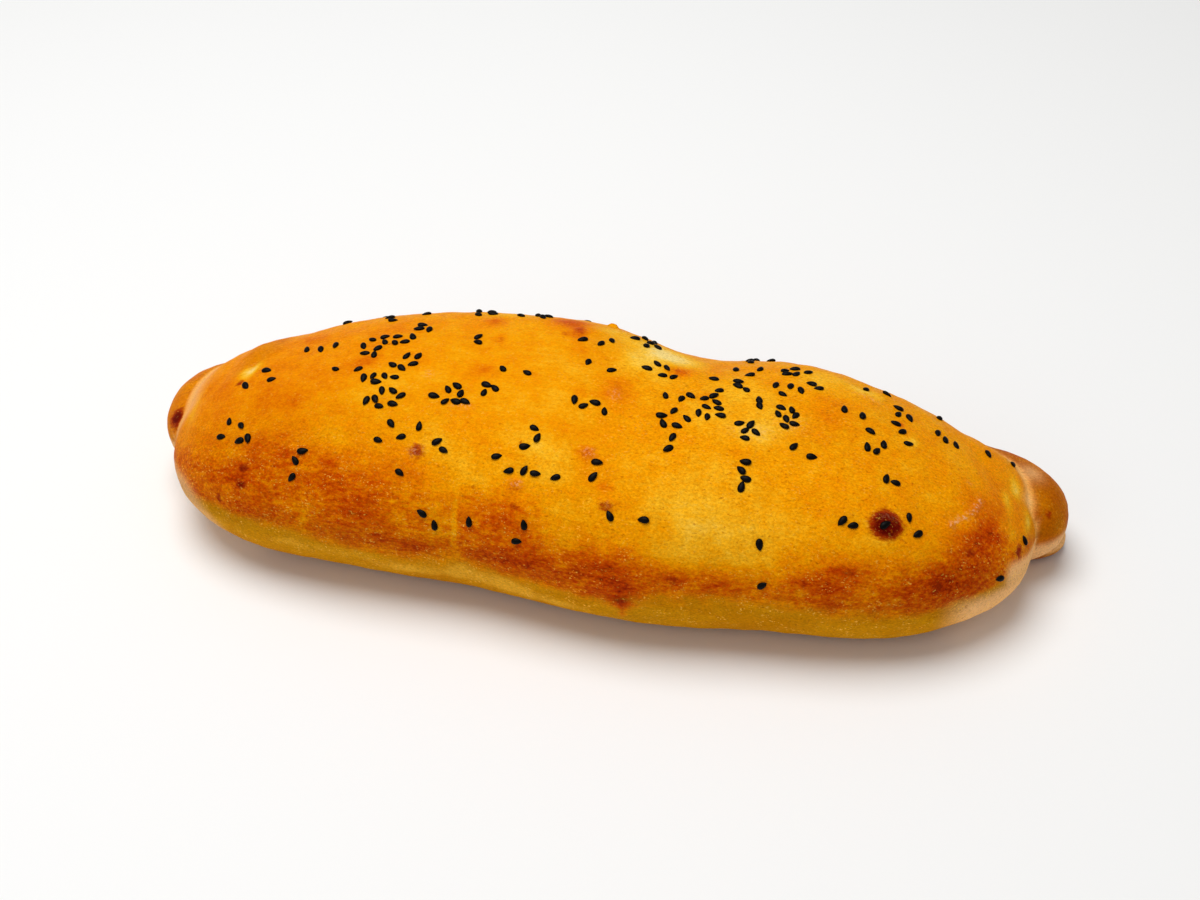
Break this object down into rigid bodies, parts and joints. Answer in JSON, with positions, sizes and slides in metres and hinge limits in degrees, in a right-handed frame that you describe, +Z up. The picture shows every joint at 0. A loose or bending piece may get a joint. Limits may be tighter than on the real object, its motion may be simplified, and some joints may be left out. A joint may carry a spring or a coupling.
{
  "type": "closed pide loaf",
  "caption": "Long closed pide loaf with a golden glazed crust, a tucked tip, a folded tail and black seeds baked onto its crown.",
  "frame": {"origin": "on the floor, under the middle of the loaf's bounding box", "axes": "+X along the loaf towards its folded tail, +Y towards its back, +Z up"},
  "size_m": [0.2588, 0.094, 0.0546],
  "materials": {
    "baked_crust": "satin egg-washed bread crust"
  },
  "bodies": {
    "root": {"pide": "baked_crust"}
  },
  "joints": []
}
